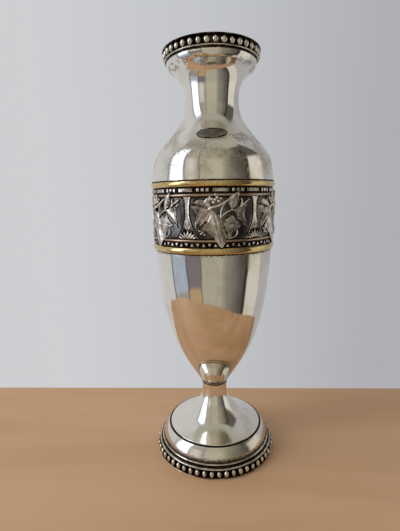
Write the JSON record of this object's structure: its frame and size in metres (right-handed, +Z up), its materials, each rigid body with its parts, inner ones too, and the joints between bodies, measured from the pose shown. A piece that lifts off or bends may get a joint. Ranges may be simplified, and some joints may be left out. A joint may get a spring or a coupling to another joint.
{
  "type": "trophy vase",
  "caption": "Tall silver-plated trophy vase with beaded lip and foot, a gilt-edged ivy frieze round the body, a small blank shoulder plaque and a trumpet foot.",
  "frame": {"origin": "middle of the underside of the felt pad, where the vase stands", "axes": "+Z up along the vase's axis; -Y is the front, where the shoulder plaque faces; +X is to the right seen from the front"},
  "size_m": [0.1116, 0.1116, 0.35],
  "materials": {
    "silver_plate": "polished silver plate over spun brass, a little tarnished",
    "silver_beads": "worn silver plate on cast beads and wires",
    "oxidised_ground": "black oxidised silver in the recesses",
    "field_silver": "half-bright oxidised silver",
    "relief_silver": "oxidised silver relief, rubbed bright on the high places",
    "gilt_brass": "polished gilding",
    "rose_gilt": "worn pinkish gilding on thin wire",
    "plaque_plate": "dark polished plate, blank",
    "zinc_steel": "zinc plated fastener",
    "felt": "green baize"
  },
  "bodies": {
    "root": {"neck_shell": "silver_plate", "bowl_shell": "silver_plate", "lip_channel": "oxidised_ground", "lip_beads": "silver_beads", "lip_top_wire": "oxidised_ground", "lip_lower_wire": "silver_beads", "shoulder_plaque": "plaque_plate", "plaque_border": "silver_beads", "upper_gilt_ring": "gilt_brass", "lower_gilt_ring": "gilt_brass", "frieze_band": "oxidised_ground", "upper_rail_bars": "relief_silver", "lower_rail_triangles": "relief_silver", "upper_frieze_wire": "rose_gilt", "lower_frieze_wire": "rose_gilt", "panel_fields": "field_silver", "pilasters": "relief_silver", "ivy_sprigs": "relief_silver", "ivy_berries": "relief_silver", "stem_collar": "silver_plate", "foot_trumpet": "silver_plate", "foot_moulding": "silver_plate", "foot_fillet_wire": "silver_beads", "foot_channel": "oxidised_ground", "foot_bead_wire": "silver_beads", "foot_beads": "silver_beads", "foot_base_ring": "silver_beads", "tie_stud": "zinc_steel", "bowl_washer": "zinc_steel", "bowl_nut": "zinc_steel", "foot_washer": "zinc_steel", "foot_nut": "zinc_steel", "base_plate": "silver_plate", "felt_pad": "felt"}
  },
  "joints": []
}
